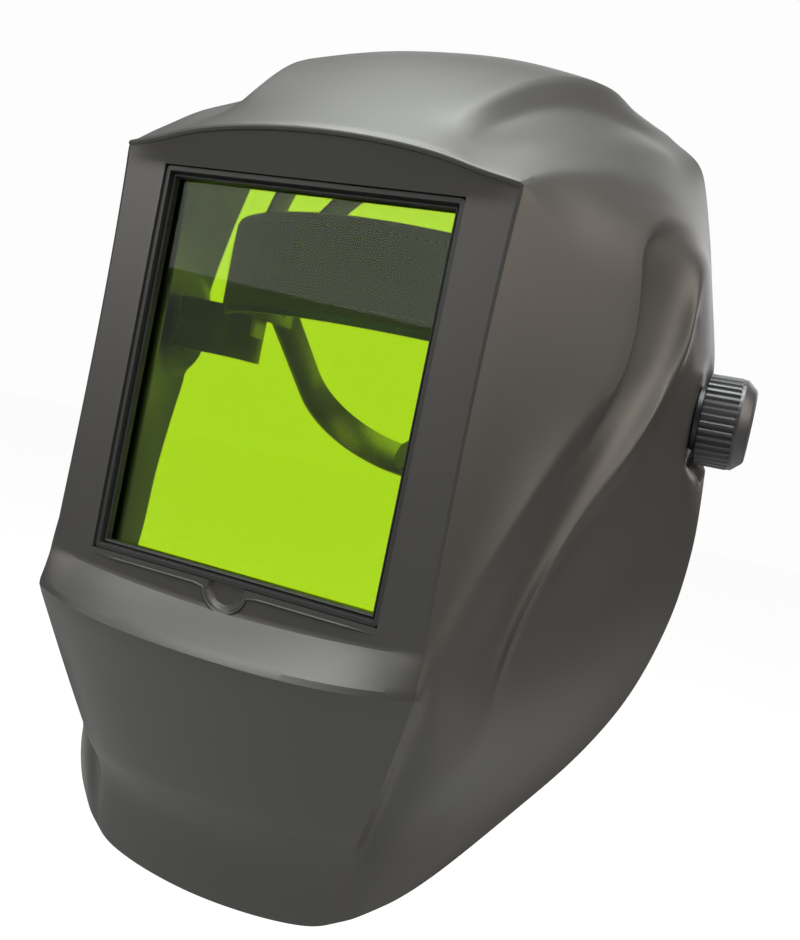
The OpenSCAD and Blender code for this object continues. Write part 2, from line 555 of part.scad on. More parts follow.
module rear_pad() { color("#2b2b2c") at_nape() translate([0, floor_y - slip - nape_pad_t, 0])
    rotate([90, 0, 0]) mirror([0, 0, 1]) linear_extrude(nape_pad_t) union() {
        square([nape_pad_w, 2 * nape_pad_r], center = true);
        for (sx = [-1, 1]) translate([sx * nape_pad_w / 2, 0]) circle(nape_pad_r);
    }
}
function pinion_tooth(a) = [for (q = [[pitch_r - 1.3 * rack_module / 1.5, -1], [pitch_r, -0.75],
    [pitch_r + addendum - 0.1, -0.35], [pitch_r + addendum - 0.1, 0.35], [pitch_r, 0.75],
    [pitch_r - 1.3 * rack_module / 1.5, 1]])
    [q[0] * cos(a) - q[1] * sin(a), q[0] * sin(a) + q[1] * cos(a)]];
module pinion() { color("#d8d8d4") at_nape() difference() {
    union() {
        translate([0, nape_len - rack_t / 2, 0]) rotate([90, 0, 0]) mirror([0, 0, 1])
            linear_extrude(rack_t) union() {
                circle(pitch_r - 1.25 * rack_module / 1.5);
                for (k = [0 : teeth - 1]) polygon(pinion_tooth(90 + k * 360 / teeth));
            }
        along_y(nape_len, cover_y2 + cover_t2 + 3 - nape_len, shaft_r);
    }
    along_y(nape_len - 5, 30, 1.3);
} }
rear_knob_y = cover_y2 + cover_t2 + 1.6;
rear_knob_l = 13;
module rear_knob() { color("#2d2f32") at_nape() difference() {
    union() {
        translate([0, rear_knob_y, 0]) rotate([-90, 0, 0]) ribbed(rear_knob_l - 2, rear_knob_d / 2, 30);
        along_y(rear_knob_y + rear_knob_l - 2 - eps, 2, rear_knob_d / 2 - 2);
    }
    along_y(rear_knob_y - 1, 2.5, shaft_r + 0.02);
    along_y(rear_knob_y - 1, 40, 1.3);
    along_y(rear_knob_y + rear_knob_l - 3, 10, 4);
} }
module pinion_screw() { color("#b8bcc0") at_nape() {
    along_y(rear_knob_y + rear_knob_l - 2.98, 1.6, 3);
    along_y(nape_len + 0.5, rear_knob_y + rear_knob_l - 3 - nape_len, 1.25);
} }

helmet_shell();
window_seal();
cover_plate();
filter_plate();
inner_plate();
plate_retainer();
plate_carrier();
carrier_screws();
latch_top();
latch_bottom();
latch_screws();
brow_band();
brow_pad();
arm_left();
arm_right();
arm_rivets();
pivot_bolt_left();
pivot_bolt_right();
friction_disc_left();
friction_disc_right();
knob_left();
knob_right();
knob_nut_left();
knob_nut_right();
crown_strap_front_left();
crown_strap_front_right();
crown_strap_rear_left();
crown_strap_rear_right();
strap_rivets();
crown_pegs();
rear_band_left();
rear_band_right();
band_pegs();
ratchet_housing();
ratchet_cover();
cover_screws();
rear_pad();
rear_knob();
pinion();
pinion_screw();
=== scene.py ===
import json
import math

import bmesh
import bpy
from mathutils import Matrix, Vector


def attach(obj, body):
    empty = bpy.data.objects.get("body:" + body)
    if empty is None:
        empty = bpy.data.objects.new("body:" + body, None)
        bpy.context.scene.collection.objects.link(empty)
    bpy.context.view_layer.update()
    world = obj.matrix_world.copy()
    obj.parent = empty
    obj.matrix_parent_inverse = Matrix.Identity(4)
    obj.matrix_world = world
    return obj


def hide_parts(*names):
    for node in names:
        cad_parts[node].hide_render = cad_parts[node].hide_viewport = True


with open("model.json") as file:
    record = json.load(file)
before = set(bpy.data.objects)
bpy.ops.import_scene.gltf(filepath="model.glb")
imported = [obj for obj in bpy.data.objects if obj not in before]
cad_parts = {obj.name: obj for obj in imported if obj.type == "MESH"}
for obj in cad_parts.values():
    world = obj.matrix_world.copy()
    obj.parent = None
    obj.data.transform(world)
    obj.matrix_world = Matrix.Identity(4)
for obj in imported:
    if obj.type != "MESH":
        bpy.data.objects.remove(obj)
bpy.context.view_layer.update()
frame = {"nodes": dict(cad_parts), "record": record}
nodes = frame["nodes"]
mm = 0.001
bodyOf = {node: body for body, members in frame["record"]["behaviour"]["bodies"].items() for node in members}
print("frame loaded")


def linear(hexColour):  # sRGB hex to linear, with alpha 1
    parts = [int(hexColour[k : k + 2], 16) / 255 for k in (1, 3, 5)]
    return tuple(c / 12.92 if c <= 0.04045 else ((c + 0.055) / 1.055) ** 2.4 for c in parts) + (1.0,)


def addNode(tree, kind, settings=None, **links):
    node = tree.nodes.new(kind)
    for key, value in (settings or {}).items():
        if isinstance(key, str) and hasattr(node, key):
            setattr(node, key, value)
        else:
            node.inputs[key].default_value = value
    for key, source in links.items():  # n0 is the first socket, and other keys are sockets' names
        numbered = key[0] == "n" and key[1:].isdigit()
        tree.links.new(source, node.inputs[int(key[1:]) if numbered else key])
    return node


def newMaterial(name):
    material = bpy.data.materials.new(name)
    material.use_nodes = True
    tree = material.node_tree
    return material, tree, tree.nodes["Principled BSDF"]


def smoothShade(mesh, sharpAngle=math.radians(38)):
    for face in mesh.faces:
        face.smooth = True
    for edge in mesh.edges:
        if len(edge.link_faces) == 2 and edge.calc_face_angle(0) > sharpAngle:
            edge.smooth = False


def makePiece(name, mesh, finish, body=None, replaced=()):
    data = bpy.data.meshes.new(name)
    mesh.to_mesh(data)
    mesh.free()
    piece = bpy.data.objects.new(name, data)
    bpy.context.scene.collection.objects.link(piece)
    data.materials.append(finish)
    if body:
        dress(piece, body, replaced)
    return piece


def dress(piece, body, replaced=()):
    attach(piece, body)
    if replaced:
        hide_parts(*replaced)


def addModifier(piece, kind, **settings):
    modifier = piece.modifiers.new(kind.title(), kind)
    for key, value in settings.items():
        setattr(modifier, key, value)
    return modifier


def evaluated(piece):  # the piece's mesh with its modifiers applied, as a bmesh
    graph = bpy.context.evaluated_depsgraph_get()
    graph.update()
    mesh = bmesh.new()
    mesh.from_mesh(piece.evaluated_get(graph).to_mesh())
    return mesh


def settle(piece, mesh):  # gives the piece a finished mesh and takes its modifiers away
    piece.modifiers.clear()
    mesh.to_mesh(piece.data)
    mesh.free()
    piece.data.update()
    return piece


def smoothStep(low, high, value):
    t = min(1.0, max(0.0, (value - low) / (high - low)))
    return t * t * (3 - 2 * t)


viewSettings = {
    "place": (0.1400, -0.3675, -0.0248),
    "turn": (87.286, -11.658, 20.958),  # degrees about X, Y and Z
    "focalPixels": 950,
    "frameHeight": 940,
    "sensor": 36,
}


def makeCamera(s):
    data = bpy.data.cameras.new("camera")
    data.sensor_width = s["sensor"]
    data.lens = s["focalPixels"] / s["frameHeight"] * s["sensor"]
    data.clip_start = 0.01
    camera = bpy.data.objects.new("camera", data)
    camera.location = s["place"]
    camera.rotation_euler = [math.radians(a) for a in s["turn"]]
    bpy.context.scene.collection.objects.link(camera)
    bpy.context.scene.camera = camera


lightSettings = {  # place, size in metres, watts, colour
    "overhead": ((0.0, -0.25, 1.25), (1.5, 1.1), 57, "#f8fcf9"),
    "front": ((-0.85, -1.25, 0.55), (1.0, 0.8), 11.5, "#fffcf8"),
    "side": ((1.25, -0.15, 0.55), (0.9, 0.8), 12, "#fff0e2"),
    "low": ((0.60, -0.6, -0.85), (1.2, 0.6), 1.5, "#ffffff"),
    "behind": ((0.0, 1.3, 0.45), (1.4, 0.9), 9, "#ffffff"),
}


def makeLights(settings, aim=Vector((0, 0, -0.03))):
    for name, (place, size, watts, colour) in settings.items():
        data = bpy.data.lights.new(name, "AREA")
        data.shape = "RECTANGLE"
        data.size, data.size_y = size
        data.energy = watts
        data.color = linear(colour)[:3]
        lamp = bpy.data.objects.new(name, data)
        lamp.visible_transmission = False
        lamp.location = place
        lamp.rotation_euler = (aim - Vector(place)).to_track_quat("-Z", "Y").to_euler()
        bpy.context.scene.collection.objects.link(lamp)


def seenDirectly(tree):  # 1 for what the camera sees, also through the plates, and otherwise 0
    path = addNode(tree, "ShaderNodeLightPath")
    straight, through = path.outputs["Is Camera Ray"], path.outputs["Is Transmission Ray"]
    return addNode(tree, "ShaderNodeMath", {"operation": "MAXIMUM"}, n0=straight, n1=through).outputs[0]


def makeWorld(white=1.0, ambient=0.12):
    world = bpy.data.worlds.new("studio")
    bpy.context.scene.world = world
    world.use_nodes = True
    tree = world.node_tree
    tree.nodes.clear()
    strength = addNode(tree, "ShaderNodeMapRange", {3: ambient, 4: white}, n0=seenDirectly(tree))
    back = addNode(tree, "ShaderNodeBackground", {0: linear("#fdfdfd")}, n1=strength.outputs[0])
    addNode(tree, "ShaderNodeOutputWorld", n0=back.outputs[0])


floorSettings = {
    "height": -0.42,
    "reach": 6,
    "paper": "#a8a8a8",  # grey, so that little light bounces up under the shell
    "glow": 1.14,
    "glowShare": 0.84,  # share of the glow in what the camera sees, where the paper looks white
}


def makeFloor(s):
    mesh = bmesh.new()
    bmesh.ops.create_grid(mesh, x_segments=1, y_segments=1, size=s["reach"])
    bmesh.ops.translate(mesh, verts=mesh.verts, vec=(0, 0, s["height"]))
    finish, tree, shader = newMaterial("whitePaperFloor")
    shader.inputs["Base Color"].default_value = linear(s["paper"])
    shader.inputs["Roughness"].default_value = 0.8
    share = addNode(tree, "ShaderNodeMath", {"operation": "MULTIPLY", 1: s["glowShare"]},
                    n0=seenDirectly(tree))
    glow = addNode(tree, "ShaderNodeEmission", {0: (1, 1, 1, 1), 1: s["glow"]})
    mixed = addNode(tree, "ShaderNodeMixShader",
                    n0=share.outputs[0], n1=shader.outputs[0], n2=glow.outputs[0])
    tree.links.new(mixed.outputs[0], tree.nodes["Material Output"].inputs[0])
    makePiece("floor", mesh, finish)


bpy.context.scene.view_settings.view_transform = "Standard"
makeCamera(viewSettings)
makeLights(lightSettings)
makeWorld()
makeFloor(floorSettings)
print("camera, light and floor ready")


def tinted(tree, colour, shade):  # the colour made darker and lighter by a socket
    tint = addNode(tree, "ShaderNodeVectorMath", {"operation": "SCALE", 0: linear(colour)[:3]}, n3=shade)
    return tint.outputs[0]


def moulded(name, colour, rough, grain=0.35, bump=0.05, patchSize=40, patchDepth=0.25):
    # Injection-moulded plastic: an even satin colour, a fine spark-eroded grain and faint flow patches.
    material, tree, shader = newMaterial(name)
    place = addNode(tree, "ShaderNodeTexCoord").outputs["Object"]
    patches = addNode(tree, "ShaderNodeTexNoise", {"Scale": 1000 / patchSize, "Detail": 3.0}, Vector=place)
    shade = addNode(tree, "ShaderNodeMapRange", {3: 1 - patchDepth, 4: 1 + patchDepth}, n0=patches.outputs[0])
    tree.links.new(tinted(tree, colour, shade.outputs[0]), shader.inputs["Base Color"])
    gloss = addNode(tree, "ShaderNodeMapRange", {3: rough - 0.05, 4: rough + 0.05}, n0=patches.outputs[0])
    tree.links.new(gloss.outputs[0], shader.inputs["Roughness"])
    grit = addNode(tree, "ShaderNodeTexNoise", {"Scale": 1000 / grain, "Detail": 2.0}, Vector=place)
    bumps = addNode(tree, "ShaderNodeBump", {"Strength": bump, "Distance": 0.0002}, Height=grit.outputs[0])
    tree.links.new(bumps.outputs[0], shader.inputs["Normal"])
    shader.inputs["IOR"].default_value = 1.56
    return material


shellNylon = moulded("nylonMouldedSatin", "#2c2b29", 0.46, grain=0.5, bump=0.12,
                     patchSize=60, patchDepth=0.08)

# The shell's left half as lines that run up it, from the chin rim to the rear rim, in millimetres.
# Every line has the same rows: chin rim, chin roll, panel foot, panel, sill crest, sill back,
# window foot, three rows up the window, window head, visor crest, five over the crown, rear rim.
halfLines = {
    "centreLine": [(0, -99, -187.5), (0, -103, -170), (0, -108, -152), (0, -121, -126),
        (0, -134, -101), (0, -118, -91), (0, -118, -82.4), (0, -118, -45), (0, -118, -10),
        (0, -118, 20), (0, -118, 40.4), (0, -125, 54), (0, -112, 64), (0, -90, 81.5), (0, -60, 103.5),
        (0, -25, 119.5), (0, 12, 129.5), (0, 48, 129)],
    "browLine": [(22, -97, -187), (23, -101, -169.5), (24, -106, -153), (26, -119, -126),
        (28, -132, -101), (28, -118, -90), (25, -118, -82.4), (25, -118, -45), (25, -118, -10),
        (25, -118, 20), (25, -118, 40.4), (25, -123.5, 53), (22, -110, 64), (22, -89, 81),
        (24, -59, 103), (27, -25, 119), (30, 12, 129), (33, 46, 128)],
    "domeEdge": [(36, -94, -186), (38, -98, -168.5), (39, -102, -153), (43, -115, -126),
        (47, -128, -100), (46, -118, -88.5), (42, -118, -82.4), (42, -118, -45), (42, -118, -10),
        (42, -118, 20), (42, -118, 40.4), (42, -121.5, 50.8), (35, -108, 63), (40, -88, 80),
        (47, -58, 100), (57, -25, 112.5), (67, 10, 117), (73, 33, 118)],
    "scoopFloor": [(42, -92.5, -184.5), (44, -96.5, -168), (45, -99, -153), (51, -112, -125),
        (57, -124.5, -99), (55, -118, -87.5), (50, -118, -82.4), (50, -118, -45), (50, -118, -10),
        (50, -118, 20), (50, -118, 40.4), (50, -120.5, 48.6), (45, -107, 60), (49, -87, 73),
        (59, -57, 91.5), (69, -25, 101.5), (77, 8, 106.5), (80, 27, 109)],
    "shoulderRidge": [(45, -91.5, -183), (47, -95.5, -167), (47.5, -98, -152.5), (55.5, -110, -125),
        (62.5, -122.5, -98.5), (61, -118, -86.5), (58, -118, -80), (58, -118, -45), (58, -118, -10),
        (58, -118, 20), (58, -118, 40.4), (58, -119.3, 47), (57, -106, 58), (62, -88, 69),
        (72, -60, 79), (81, -30, 88), (88, 0, 95), (94, 15, 99)],
    "faceEdge": [(48, -90.5, -181.5), (49.5, -94, -166), (49.6, -96.7, -152.5), (58, -108, -125),
        (66, -120.5, -98), (65, -118, -86), (65, -118, -76), (64.2, -118, -45), (63.8, -118, -10),
        (64.2, -118, 20), (65, -118, 39), (65.4, -118, 46), (68, -105, 54), (76, -87, 61),
        (84, -64, 68), (92, -45, 70), (98, -20, 73), (98, 14, 88)],
    "cheek": [(51, -89.5, -180), (52, -93, -165), (52, -95.5, -151), (61, -106.5, -124.5),
        (67.5, -118, -98), (66.5, -116, -82), (68, -112.5, -73), (72, -104, -43), (76, -98, -12),
        (80, -93, 8), (81, -91, 22), (81, -91, 32), (80, -93, 42), (86, -80, 51), (90, -62, 60),
        (96.5, -42, 65), (101, -18, 68), (100.5, 14, 80)],
    "stepTop": [(54, -88, -178), (55, -91.5, -164), (55, -94, -149.5), (65, -103.5, -124),
        (69.5, -114.5, -98), (68, -115, -80), (71, -109, -68), (81, -92, -41), (89.5, -76, -16),
        (96.5, -63, -2), (98, -60, 10), (98, -60, 24), (96, -64, 36), (93, -66, 46), (95, -58, 54),
        (99.5, -40, 61), (103, -16, 65), (102.5, 14, 73)],
    "stepFoot": [(57.5, -86, -175.5), (59, -89, -162), (59, -91.5, -147.5), (70, -99, -123),
        (72, -110.5, -98), (70, -113, -86), (75, -104, -74), (84.5, -88, -49), (92.5, -74, -24),
        (98.5, -61, -6), (101, -57, 8), (101.5, -55, 22), (101, -56, 34), (100, -58, 44),
        (99.5, -54, 52), (102, -38, 58), (104, -15, 62.5), (104.5, 14, 66)],
    "valley": [(61, -84, -173), (63.5, -85, -160), (64, -87, -145.5), (75.5, -92, -122),
        (78.5, -94, -102), (81, -91, -88), (84.5, -85.5, -66), (90, -77, -40), (97, -63, -17),
        (101, -54, -3), (103.5, -47, 8), (105.5, -43, 21), (105.5, -42, 32), (105, -42, 41),
        (104, -41, 50), (104.5, -33, 55), (105.5, -13, 60), (106, 14, 60)],
    "ridge": [(65, -81, -169.5), (68, -80, -157.5), (69, -80.5, -144), (79, -84, -121),
        (80.5, -91, -102), (86, -88, -85), (90.5, -81, -66), (96.5, -69, -43), (102.5, -57, -20),
        (105.5, -50, -6), (108, -44, 7), (109.5, -41, 18), (110, -40, 28), (109.5, -39, 37),
        (108.5, -35, 47), (108, -26, 53), (107, -11, 57), (107.5, 14, 54)],
    "ridgeFoot": [(69, -77.5, -165.5), (73, -73, -155), (74.5, -73, -143), (81, -77, -120.5),
        (82, -88, -102), (88, -83, -86), (94, -72, -67), (100.5, -57, -45), (106, -46, -24),
        (108.5, -40, -8), (110.5, -36, 6), (111, -34, 17), (111, -34, 26), (110.5, -34, 34),
        (110, -31, 42), (110, -23, 48), (108.5, -8, 52), (109, 14, 48)],
    "rearPanel": [(74, -72, -160), (82, -60, -149), (87, -50, -139), (95, -42, -119), (102, -34, -102),
        (107, -27, -86), (111, -22, -69), (114, -16, -49), (115.5, -12, -33), (116, -10, -20),
        (116, -10, -10), (115.5, -10, -2), (115, -10, 5), (114.5, -10, 12), (114, -8, 20),
        (113.5, -5, 28), (112.5, 3, 36), (112, 15, 36)],
    "rim": [(80.5, -62, -152.5), (90, -47, -141), (100, -31, -129), (110, -14, -112), (115, -3, -98),
        (118.5, 3, -84), (121, 7, -70), (122, 11, -54), (122, 13, -43), (121.5, 14, -35),
        (121, 15, -28), (120.5, 15, -22), (120, 15, -16), (119.5, 15, -10), (118.5, 15, -3),
        (117, 15, 5), (116, 15, 14), (115, 15, 24)],
}
shellBuild = {
    "wall": 3.0,
    "levels": 3,
    "openingLine": 3,  # the window opening lies between this line and its mirror image
    "openingRows": (6, 10),
    "rimBevel": 0.7,
    "edgeAngle": 17,
    "padX": 113.5,  # flat on which a side knob clamps
    "padRadius": 17.0,
    "padBlend": 24.0,
    "crest": (11, 5),  # the visor's crest: its row, and the line where it ends on each side
    "lipRadius": 1.1,
    "lipShift": (0, 0.25, -0.55),
    # finger notch in the face under the window, with the raised line that runs round it
    "notch": {"face": -118, "height": -83.4, "radius": 6.5, "depth": 1.6, "wall": 1.2,
              "bow": 7.8, "line": -84.2, "rail": 0.45, "railStops": (-49, -40, -30, -20, -11)},
    # rows and lines that keep an edge: (row or line, from, to, sharpness)
    "rowEdges": [(2, 0, 5, 4.0), (4, 0, 6, 4.0), (5, 0, 6, 3.0), (10, 0, 5, 3.0), (11, 0, 5, 3.6)],
    "lineEdges": [(5, 2, 5, 4.0), (6, 3, 5, 1.5), (5, 5, 11, 3.0), (5, 11, 14, 1.6), (2, 12, 16, 2.6),
                  (3, 12, 16, 1.8), (4, 12, 16, 1.2), (7, 6, 14, 2.6), (8, 6, 14, 2.2), (10, 4, 10, 1.6),
                  (11, 4, 13, 3.4)],
    # The moulding's relief is stronger than the frame's. Line, first row, then one shift in mm for each row.
    "relief": [
        ("centreLine", 1, [(0, 2, 6), (0, -1.6, 0)]), ("browLine", 1, [(0, 2, 6), (0, -1.6, 0)]),
        ("domeEdge", 1, [(0, 2, 6), (0, -1.6, 0)]), ("scoopFloor", 1, [(0, 2, 6), (0.4, -1.6, 0)]),
        ("shoulderRidge", 1, [(0, 2, 6), (0.7, -1.6, 0)]),
        ("faceEdge", 1, [(-0.5, 2.5, 7), (1.2, -1.6, 0), (1.2, -1.4, 0)]),
        ("cheek", 1, [(-0.5, 2, 4), (-0.5, 2.5, 0), (-0.5, 3, 0)]),
        ("stepTop", 2, [(-1, 1.5, 0), (-1.5, 1.5, 0)]),
        ("scoopFloor", 12, [(-1, 0, -1.5), (-4, 0, -2), (-5, 0, -2.5), (-5, 0, -3), (-4, 0, -2.5)]),
        ("stepFoot", 7, [(-4, -4, 0), (-5, -2.5, 0), (-6.5, -2, 0), (-7, -3, 0), (-7.5, -4, 0),
                         (-8, -6, 0), (-8, -9, 1), (-5, -3, -1)]),
        ("stepTop", 7, [(-1.5, -5, 0), (-3, -6.5, 0), (-2, -6.5, 0), (-2, -6.5, 0), (-2, -6.5, 0),
                        (-2, -6.5, 1), (-1, -5, 2), (0, -2, 3)]),
        ("valley", 5, [(-3, 1.5, 0), (-3.5, 2, 0), (-3.5, 2, 0), (-3, 1.5, 0), (-2.5, 1, 0), (-2.5, 1, 0),
                       (-2.5, 1, 0), (-2.5, 1, 0), (-2, 1, 0)]),
        ("ridge", 5, [(-4.5, -2, 0), (-5, -2.5, 0), (-5.5, -2.5, 0), (-2, -1.5, 0), (-1, -1.5, 0),
                      (-1, -1, 0), (0.5, -0.5, 0), (0.5, -0.5, 0), (0.5, -0.5, 0)]),
        ("ridgeFoot", 5, [(-6, -2.5, 0), (-9, -3, 0), (-10, -3, 0), (-5, -1.5, 0), (-3.5, -1, 0), (-3, -1, 0),
                          (-1.5, -1, 0), (-1.5, -1, 0), (-1.5, -1, 0)]),
    ],
}


def crease(sharpness):  # Blender's crease for that many sharp subdivisions
    return math.sqrt(min(sharpness, 10) / 10)


def shellCage(s):
    mesh = bmesh.new()
    shaped = {name: [Vector(p) for p in points] for name, points in halfLines.items()}
    for name, start, shifts in s["relief"]:
        for index, shift in enumerate(shifts, start):
            shaped[name][index] += Vector(shift)
    lines = list(shaped.values())
    half, rows = len(lines) - 1, len(lines[0])
    edgeCrease = mesh.edges.layers.float.new("crease_edge")
    vertCrease = mesh.verts.layers.float.new("crease_vert")
    rowMark = mesh.verts.layers.float.new("rowMark")
    lineMark = mesh.verts.layers.float.new("lineMark")
    bmesh.ops.create_grid(mesh, x_segments=2 * half, y_segments=rows - 1, size=1)
    across, row = {}, {}
    for vert in mesh.verts:
        across[vert] = round(vert.co.x * half)
        row[vert] = round((vert.co.y + 1) / 2 * (rows - 1))
    for vert in mesh.verts:
        x, y, z = lines[abs(across[vert])][row[vert]]
        vert[rowMark], vert[lineMark] = row[vert], across[vert]
        vert.co = Vector((math.copysign(x, across[vert]), y, z)) * mm
    low, top = s["openingRows"]
    side = s["openingLine"]
    inside = [f for f in mesh.faces
              if all(abs(across[v]) <= side and low <= row[v] <= top for v in f.verts)]
    opening = {v for f in inside for v in f.verts if abs(across[v]) == side or row[v] in (low, top)}
    corners = [v for v in opening if abs(across[v]) == side and row[v] in (low, top)]
    bmesh.ops.delete(mesh, geom=inside, context="FACES")
    for vert in corners:
        vert[vertCrease] = 1.0
    for edge in mesh.edges:
        a, b = edge.verts
        if a in opening and b in opening and len(edge.link_faces) == 1:
            edge[edgeCrease] = 1.0
        elif row[a] == row[b]:
            far = max(abs(across[a]), abs(across[b]))
            for index, start, end, sharp in s["rowEdges"]:
                if row[a] == index and start < far <= end or (row[a] == index and start == end == far):
                    edge[edgeCrease] = crease(sharp)
        else:
            for index, start, end, sharp in s["lineEdges"]:
                if abs(across[a]) == index and start <= min(row[a], row[b]) and max(row[a], row[b]) <= end:
                    edge[edgeCrease] = crease(sharp)
    bmesh.ops.recalc_face_normals(mesh, faces=mesh.faces)
    return mesh


def tube(points, radius, sides=8):  # a round bead along a path, with its ends drawn in
    mesh = bmesh.new()
    rings = []
    for index, point in enumerate(points):
        along = points[min(index + 1, len(points) - 1)] - points[max(index - 1, 0)]
        turn = along.to_track_quat("Z", "Y")
        size = radius * (0.15 if index in (0, len(points) - 1) else 1)
        angles = [k / sides * math.tau for k in range(sides)]
        spokes = [Vector((size * math.cos(a), size * math.sin(a), 0)) for a in angles]
        rings.append([mesh.verts.new(point + turn @ spoke) for spoke in spokes])
    mesh.faces.new(rings[0])
    mesh.faces.new(rings[-1])
    for low, high in zip(rings, rings[1:]):
        for k in range(sides):
            mesh.faces.new((low[k], low[(k + 1) % sides], high[(k + 1) % sides], high[k]))
    bmesh.ops.recalc_face_normals(mesh, faces=mesh.faces)
    for face in mesh.faces:
        face.smooth = len(face.verts) == 4
    return mesh


def dishForKnobs(mesh, s):  # a flat round the tilt axis on each side
    for vert in mesh.verts:
        radius = math.hypot(vert.co.y, vert.co.z) / mm
        if radius < s["padBlend"]:
            keep = smoothStep(s["padRadius"], s["padBlend"], radius)
            flat = math.copysign(s["padX"] * mm, vert.co.x)
            vert.co.x = flat + (vert.co.x - flat) * keep


def visorCrest(mesh, s):  # places along the visor's crest, from the wearer's right to the left
    rowMark, lineMark = (mesh.verts.layers.float[mark] for mark in ("rowMark", "lineMark"))
    row, end = s["crest"]
    crest = [v.co.copy() for v in mesh.verts
             if abs(v[rowMark] - row) < 0.01 and abs(v[lineMark]) < end + 0.01]
    return sorted(crest, key=lambda place: place.x)


def sinkNotch(mesh, notch):  # the faces round the notch are made finer first
    def reach(vert):
        return math.hypot(vert.co.x, vert.co.z - notch["height"] * mm) / mm

    def onFace(vert):
        return abs(vert.co.y - notch["face"] * mm) < 0.5 * mm

    margin = 4
    near = [e for e in mesh.edges if all(onFace(v) and reach(v) < notch["radius"] + margin for v in e.verts)]
    bmesh.ops.subdivide_edges(mesh, edges=near, cuts=5, use_grid_fill=True)
    for vert in mesh.verts:
        if onFace(vert) and reach(vert) < notch["radius"] + 1:
            rise = smoothStep(notch["radius"] - notch["wall"], notch["radius"], reach(vert))
            vert.co.y += notch["depth"] * mm * (1 - rise)


def notchRail(notch):  # along the window's foot and down round the notch
    side = [(x, notch["line"]) for x in notch["railStops"]]
    turns = [math.radians(a) for a in range(190, 351, 10)]
    bow = [(notch["bow"] * math.cos(a), notch["height"] + notch["bow"] * math.sin(a)) for a in turns]
    path = side + bow + [(-x, z) for x, z in reversed(side)]
    return [Vector((x, notch["face"] - 0.05, z)) * mm for x, z in path]


def makeShell(s):
    shell = makePiece("shellMoulding", shellCage(s), shellNylon)
    addModifier(shell, "SUBSURF", levels=s["levels"], render_levels=s["levels"])
    mesh = evaluated(shell)
    front = max(mesh.faces, key=lambda f: -f.calc_center_median().y)
    if front.normal.y > 0:
        bmesh.ops.reverse_faces(mesh, faces=mesh.faces)
    dishForKnobs(mesh, s)
    crest = visorCrest(mesh, s)
    sinkNotch(mesh, s["notch"])
    smoothShade(mesh, math.radians(180))
    settle(shell, mesh)
    addModifier(shell, "SOLIDIFY", thickness=s["wall"] * mm, offset=-1)
    addModifier(shell, "BEVEL", width=s["rimBevel"] * mm, segments=2, limit_method="ANGLE",
                angle_limit=math.radians(s["edgeAngle"]), harden_normals=True)
    dress(shell, "shell", ["helmet_shell"])
    lip = [place + Vector(s["lipShift"]) * mm for place in crest]
    makePiece("visorLip", tube(lip, s["lipRadius"] * mm), shellNylon, "shell")
    rail = tube(notchRail(s["notch"]), s["notch"]["rail"] * mm)
    makePiece("windowLip", rail, shellNylon, "shell")


makeShell(shellBuild)
print("shell made")

plain = {  # finish: colour, roughness, grain in mm, bump, patch size in mm, patch depth
    "sealRubber": ("#0e0f10", 0.55, 0.8, 0.04, 30, 0.1),
    "innerNylon": ("#202224", 0.48, 0.5, 0.08, 30, 0.1),
    "harnessPlastic": ("#1a1b1d", 0.36, 0.6, 0.05, 35, 0.12),
    "knobNylon": ("#2b2c2e", 0.4, 0.5, 0.1, 20, 0.1),
    "fibreWasher": ("#6d3a24", 0.75, 0.4, 0.25, 6, 0.3),
    "acetal": ("#d6d6d0", 0.35, 0.6, 0.02, 20, 0.04),
}
finishes = {name: moulded(name, *values) for name, values in plain.items()}


def metal(name, colour, rough, streak):  # fine turning marks and a slight bloom
    material, tree, shader = newMaterial(name)
    place = addNode(tree, "ShaderNodeTexCoord").outputs["Object"]
    marks = addNode(tree, "ShaderNodeTexNoise", {"Scale": 1000 / streak, "Detail": 3.0}, Vector=place)
    gloss = addNode(tree, "ShaderNodeMapRange", {3: rough - 0.08, 4: rough + 0.1}, n0=marks.outputs[0])
    tree.links.new(gloss.outputs[0], shader.inputs["Roughness"])
    shader.inputs["Base Color"].default_value = linear(colour)
    shader.inputs["Metallic"].default_value = 1.0
    return material


finishes["steel"] = metal("zincSteel", "#b4b7ba", 0.3, 1.5)
finishes["brass"] = metal("turnedBrass", "#b8953f", 0.28, 1.2)


def glazing(name, colour, rough=0.02):
    material, tree, shader = newMaterial(name)
    shader.inputs["Base Color"].default_value = linear(colour)
    shader.inputs["Roughness"].default_value = rough
    shader.inputs["Transmission Weight"].default_value = 1.0
    shader.inputs["IOR"].default_value = 1.2
    return material


clearPlate = glazing("clearPolycarbonate", "#fbfdfb")
limeFilter = glazing("limeFilterGlass", "#b0dd02")


bandScale = 314.16  # the wave texture's scale for threads 1 mm apart


